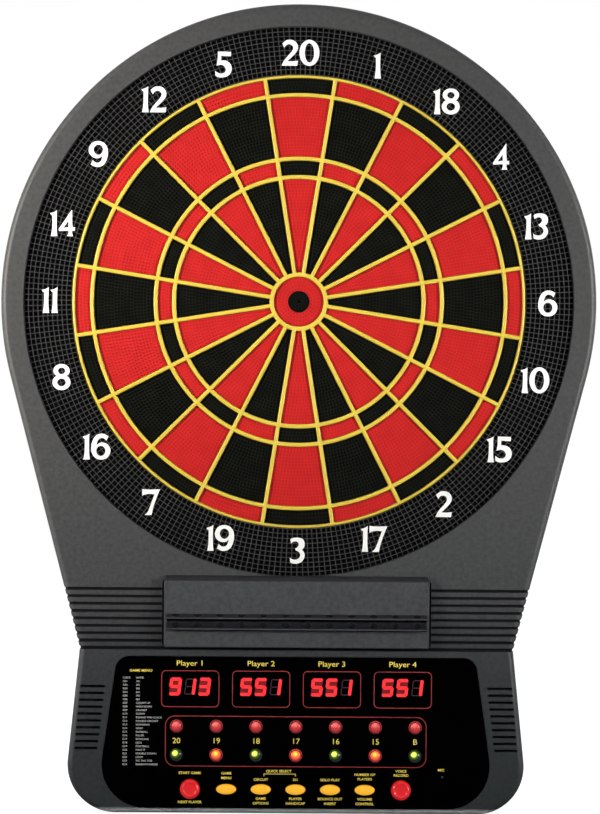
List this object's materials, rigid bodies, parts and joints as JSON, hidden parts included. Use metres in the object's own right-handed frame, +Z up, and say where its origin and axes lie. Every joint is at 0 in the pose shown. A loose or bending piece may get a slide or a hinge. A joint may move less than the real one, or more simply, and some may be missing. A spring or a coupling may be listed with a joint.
{
  "type": "electronic dartboard",
  "caption": "Wall-hung electronic dartboard: sprung target wedges in a divider web, drilled dart ledge, and a console with displays, lamps and push buttons.",
  "frame": {"origin": "on the wall plane, at the back cover's rear face, straight behind the centre of the bull", "axes": "+X to the player's right, +Z up, -Y out of the wall towards the player"},
  "size_m": [0.5198, 0.0685, 0.7072],
  "materials": {
    "housing_plastic": "fine moulded texture",
    "cover_plastic": "fine moulded texture",
    "holder_plastic": "fine moulded texture",
    "black_plastic": "satin moulded",
    "segment_red": "satin, perforated for dart tips",
    "segment_black": "satin, perforated for dart tips",
    "web_yellow": "satin moulded",
    "window_black": "smooth printed panel",
    "display_block": "smooth, dark filter",
    "display_lit": "lit display bars",
    "lamp_red": "tinted lens",
    "lamp_green": "tinted lens, lit",
    "lamp_amber": "tinted lens, lit",
    "print_white": "printed ink",
    "print_yellow": "printed ink",
    "print_red": "printed ink",
    "button_red": "polished",
    "button_amber": "satin",
    "dark_rubber": "matt sheet",
    "membrane_film": "printed film",
    "hardboard": "smooth pressed board",
    "circuit_board": "solder mask",
    "microphone_can": "satin",
    "screw_steel": "zinc plated",
    "switch_knob": "ribbed"
  },
  "bodies": {
    "cabinet": {"front_housing": "housing_plastic", "back_cover": "cover_plastic", "number_ring": "black_plastic", "spider": "web_yellow", "dart_holder": "holder_plastic", "control_window": "window_black", "display_1": "display_block", "display_2": "display_block", "display_3": "display_block", "display_4": "display_block", "display_board": "circuit_board", "led_bar_upper": "lamp_red", "led_bar_lower": "lamp_green", "button_board": "circuit_board", "keypad_mat": "dark_rubber", "main_board": "circuit_board", "rubber_mat": "dark_rubber", "sensor_matrix": "membrane_film", "target_backplate": "hardboard", "speaker": "black_plastic", "microphone": "microphone_can", "dc_jack": "black_plastic", "power_switch_body": "black_plastic", "cover_screw_1": "screw_steel", "cover_screw_2": "screw_steel", "cover_screw_3": "screw_steel", "cover_screw_4": "screw_steel", "cover_screw_5": "screw_steel", "cover_screw_6": "screw_steel"},
    "segment_20": {"segment_20": "segment_red"},
    "segment_1": {"segment_1": "segment_black"},
    "segment_18": {"segment_18": "segment_red"},
    "segment_4": {"segment_4": "segment_black"},
    "segment_13": {"segment_13": "segment_red"},
    "segment_6": {"segment_6": "segment_black"},
    "segment_10": {"segment_10": "segment_red"},
    "segment_15": {"segment_15": "segment_black"},
    "segment_2": {"segment_2": "segment_red"},
    "segment_17": {"segment_17": "segment_black"},
    "segment_3": {"segment_3": "segment_red"},
    "segment_19": {"segment_19": "segment_black"},
    "segment_7": {"segment_7": "segment_red"},
    "segment_16": {"segment_16": "segment_black"},
    "segment_8": {"segment_8": "segment_red"},
    "segment_11": {"segment_11": "segment_black"},
    "segment_14": {"segment_14": "segment_red"},
    "segment_9": {"segment_9": "segment_black"},
    "segment_12": {"segment_12": "segment_red"},
    "segment_5": {"segment_5": "segment_black"},
    "outer_bull": {"outer_bull": "segment_red"},
    "inner_bull": {"inner_bull": "segment_black"},
    "start_button": {"start_button": "button_red"},
    "record_button": {"record_button": "button_red"},
    "menu_button": {"menu_button": "button_amber"},
    "circuit_button": {"circuit_button": "button_amber"},
    "handicap_button": {"handicap_button": "button_amber"},
    "solo_button": {"solo_button": "button_amber"},
    "players_button": {"players_button": "button_amber"},
    "power_switch_slider": {"power_switch_slider": "switch_knob"}
  },
  "joints": [
    {"name": "segment_20_press", "type": "slide", "parent": "cabinet", "child": "segment_20", "axis": [0, 1, 0], "range_m": [0, 0.0018], "stiffness_N_per_m": 1500},
    {"name": "segment_1_press", "type": "slide", "parent": "cabinet", "child": "segment_1", "axis": [0, 1, 0], "range_m": [0, 0.0018], "stiffness_N_per_m": 1500},
    {"name": "segment_18_press", "type": "slide", "parent": "cabinet", "child": "segment_18", "axis": [0, 1, 0], "range_m": [0, 0.0018], "stiffness_N_per_m": 1500},
    {"name": "segment_4_press", "type": "slide", "parent": "cabinet", "child": "segment_4", "axis": [0, 1, 0], "range_m": [0, 0.0018], "stiffness_N_per_m": 1500},
    {"name": "segment_13_press", "type": "slide", "parent": "cabinet", "child": "segment_13", "axis": [0, 1, 0], "range_m": [0, 0.0018], "stiffness_N_per_m": 1500},
    {"name": "segment_6_press", "type": "slide", "parent": "cabinet", "child": "segment_6", "axis": [0, 1, 0], "range_m": [0, 0.0018], "stiffness_N_per_m": 1500},
    {"name": "segment_10_press", "type": "slide", "parent": "cabinet", "child": "segment_10", "axis": [0, 1, 0], "range_m": [0, 0.0018], "stiffness_N_per_m": 1500},
    {"name": "segment_15_press", "type": "slide", "parent": "cabinet", "child": "segment_15", "axis": [0, 1, 0], "range_m": [0, 0.0018], "stiffness_N_per_m": 1500},
    {"name": "segment_2_press", "type": "slide", "parent": "cabinet", "child": "segment_2", "axis": [0, 1, 0], "range_m": [0, 0.0018], "stiffness_N_per_m": 1500},
    {"name": "segment_17_press", "type": "slide", "parent": "cabinet", "child": "segment_17", "axis": [0, 1, 0], "range_m": [0, 0.0018], "stiffness_N_per_m": 1500},
    {"name": "segment_3_press", "type": "slide", "parent": "cabinet", "child": "segment_3", "axis": [0, 1, 0], "range_m": [0, 0.0018], "stiffness_N_per_m": 1500},
    {"name": "segment_19_press", "type": "slide", "parent": "cabinet", "child": "segment_19", "axis": [0, 1, 0], "range_m": [0, 0.0018], "stiffness_N_per_m": 1500},
    {"name": "segment_7_press", "type": "slide", "parent": "cabinet", "child": "segment_7", "axis": [0, 1, 0], "range_m": [0, 0.0018], "stiffness_N_per_m": 1500},
    {"name": "segment_16_press", "type": "slide", "parent": "cabinet", "child": "segment_16", "axis": [0, 1, 0], "range_m": [0, 0.0018], "stiffness_N_per_m": 1500},
    {"name": "segment_8_press", "type": "slide", "parent": "cabinet", "child": "segment_8", "axis": [0, 1, 0], "range_m": [0, 0.0018], "stiffness_N_per_m": 1500},
    {"name": "segment_11_press", "type": "slide", "parent": "cabinet", "child": "segment_11", "axis": [0, 1, 0], "range_m": [0, 0.0018], "stiffness_N_per_m": 1500},
    {"name": "segment_14_press", "type": "slide", "parent": "cabinet", "child": "segment_14", "axis": [0, 1, 0], "range_m": [0, 0.0018], "stiffness_N_per_m": 1500},
    {"name": "segment_9_press", "type": "slide", "parent": "cabinet", "child": "segment_9", "axis": [0, 1, 0], "range_m": [0, 0.0018], "stiffness_N_per_m": 1500},
    {"name": "segment_12_press", "type": "slide", "parent": "cabinet", "child": "segment_12", "axis": [0, 1, 0], "range_m": [0, 0.0018], "stiffness_N_per_m": 1500},
    {"name": "segment_5_press", "type": "slide", "parent": "cabinet", "child": "segment_5", "axis": [0, 1, 0], "range_m": [0, 0.0018], "stiffness_N_per_m": 1500},
    {"name": "outer_bull_press", "type": "slide", "parent": "cabinet", "child": "outer_bull", "axis": [0, 1, 0], "range_m": [0, 0.0018], "stiffness_N_per_m": 800},
    {"name": "inner_bull_press", "type": "slide", "parent": "cabinet", "child": "inner_bull", "axis": [0, 1, 0], "range_m": [0, 0.0018], "stiffness_N_per_m": 600},
    {"name": "start_button_press", "type": "slide", "parent": "cabinet", "child": "start_button", "axis": [0, 1, 0], "range_m": [0, 0.0015], "stiffness_N_per_m": 400},
    {"name": "record_button_press", "type": "slide", "parent": "cabinet", "child": "record_button", "axis": [0, 1, 0], "range_m": [0, 0.0015], "stiffness_N_per_m": 400},
    {"name": "menu_button_press", "type": "slide", "parent": "cabinet", "child": "menu_button", "axis": [0, 1, 0], "range_m": [0, 0.0015], "stiffness_N_per_m": 400},
    {"name": "circuit_button_press", "type": "slide", "parent": "cabinet", "child": "circuit_button", "axis": [0, 1, 0], "range_m": [0, 0.0015], "stiffness_N_per_m": 400},
    {"name": "handicap_button_press", "type": "slide", "parent": "cabinet", "child": "handicap_button", "axis": [0, 1, 0], "range_m": [0, 0.0015], "stiffness_N_per_m": 400},
    {"name": "solo_button_press", "type": "slide", "parent": "cabinet", "child": "solo_button", "axis": [0, 1, 0], "range_m": [0, 0.0015], "stiffness_N_per_m": 400},
    {"name": "players_button_press", "type": "slide", "parent": "cabinet", "child": "players_button", "axis": [0, 1, 0], "range_m": [0, 0.0015], "stiffness_N_per_m": 400},
    {"name": "power_switch_slide", "type": "slide", "parent": "cabinet", "child": "power_switch_slider", "axis": [1, 0, 0], "range_m": [0, 0.0036]}
  ]
}
